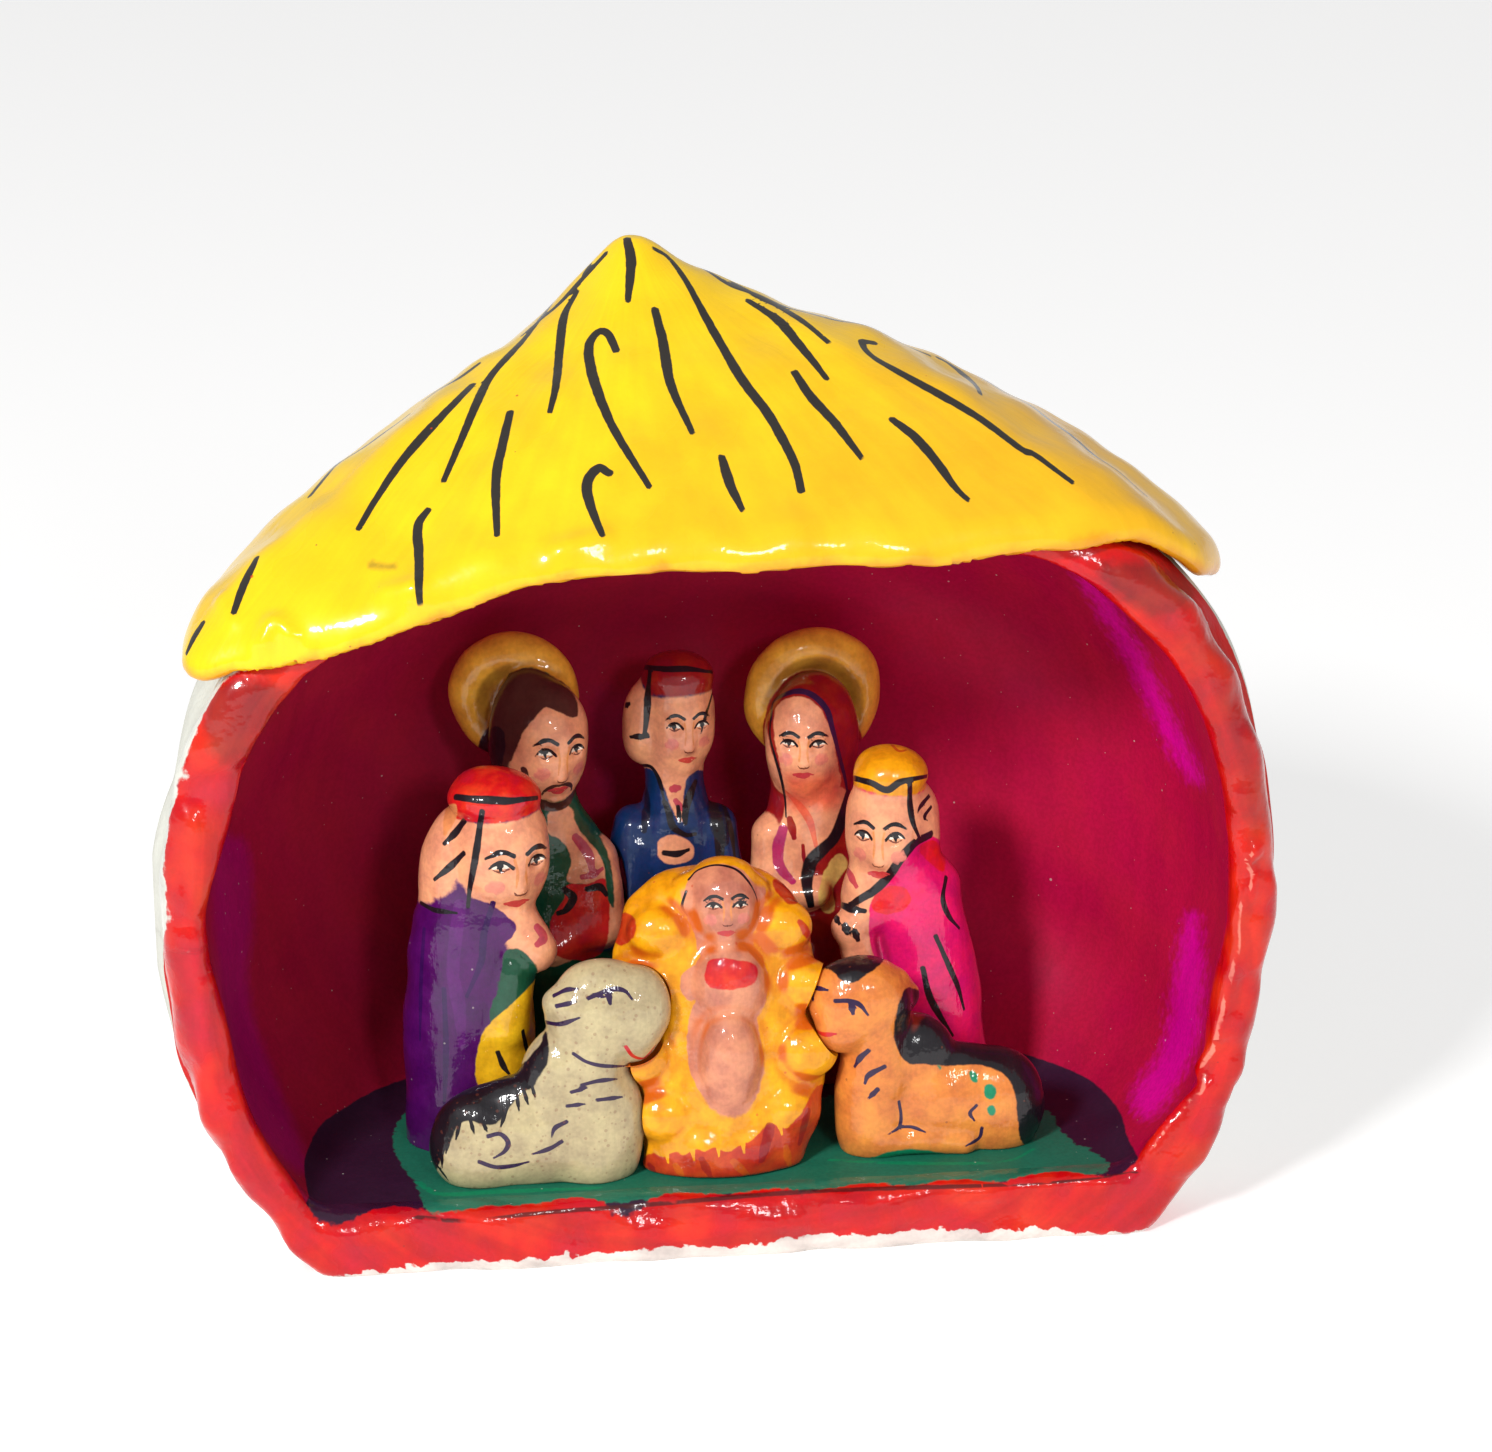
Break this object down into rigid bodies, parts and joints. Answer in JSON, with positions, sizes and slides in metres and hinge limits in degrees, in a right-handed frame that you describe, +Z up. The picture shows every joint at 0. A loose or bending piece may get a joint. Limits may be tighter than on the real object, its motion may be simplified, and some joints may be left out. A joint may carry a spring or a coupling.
{
  "type": "painted hut ornament with nativity figures",
  "caption": "Small papier-mache hut with an open front and a thatched roof cap, holding painted standing, kneeling and lying figures.",
  "frame": {"origin": "on the ground, under the middle of the whole ornament's box", "axes": "+X to the viewer's right across the open front, +Y from the open front to the back wall, +Z up"},
  "size_m": [0.0806, 0.0402, 0.0713],
  "materials": {
    "hut_paint": "varnished scarlet paint on the rim, matt crimson inside, bare off-white primer outside",
    "roof_paint": "varnished bright yellow paint with black thatch strokes",
    "bearded_man_paint": "varnished paint, green robe, brown hair, ochre halo",
    "veiled_woman_paint": "varnished paint, red veil, ochre halo",
    "blue_king_paint": "varnished paint, blue robe, red cap",
    "purple_king_paint": "varnished paint, purple robe, red cap",
    "pink_king_paint": "varnished paint, magenta robe, yellow cap",
    "manger_paint": "varnished yellow and orange straw, pink child",
    "lamb_paint": "varnished grey-beige paint with a black back",
    "ox_paint": "varnished orange-tan paint with a black back"
  },
  "bodies": {
    "root": {"hut_shell": "hut_paint", "thatched_roof": "roof_paint", "bearded_man": "bearded_man_paint", "veiled_woman": "veiled_woman_paint", "blue_king": "blue_king_paint", "purple_king": "purple_king_paint", "pink_king": "pink_king_paint", "child_in_manger": "manger_paint", "lamb": "lamb_paint", "ox": "ox_paint"}
  },
  "joints": []
}
